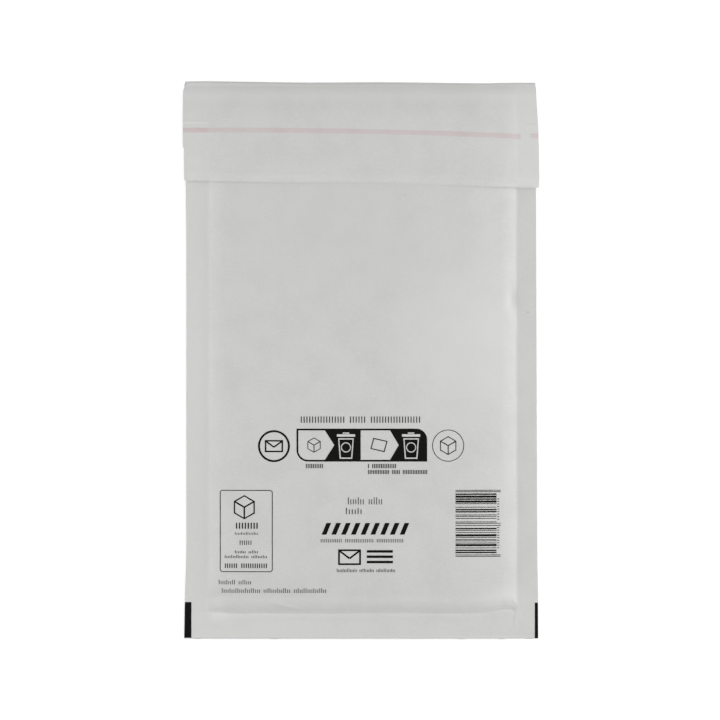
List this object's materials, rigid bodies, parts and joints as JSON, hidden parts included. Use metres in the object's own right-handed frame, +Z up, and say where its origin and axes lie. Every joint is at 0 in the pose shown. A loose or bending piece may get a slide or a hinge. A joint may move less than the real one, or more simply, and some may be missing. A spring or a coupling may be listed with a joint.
{
  "type": "padded envelope",
  "caption": "Small padded envelope of white paper lined with bubble film, flap folded over its mouth, release liner still on the adhesive.",
  "frame": {"origin": "under the middle of the back panel, on the surface the envelope lies on", "axes": "+X across the envelope to the right, +Y from the bottom fold to the flap's fold, +Z up out of the flap side"},
  "size_m": [0.14, 0.22, 0.0074],
  "materials": {
    "white_paper": "matte",
    "clear_bubble_film": "gloss",
    "pink_tear_tape": "satin",
    "pale_adhesive": "gloss",
    "glossy_liner_paper": "satin"
  },
  "bodies": {
    "root": {"outer_paper": "white_paper", "bubble_lining": "clear_bubble_film", "tear_tape": "pink_tear_tape", "adhesive_strip": "pale_adhesive", "release_liner": "glossy_liner_paper"}
  },
  "joints": []
}
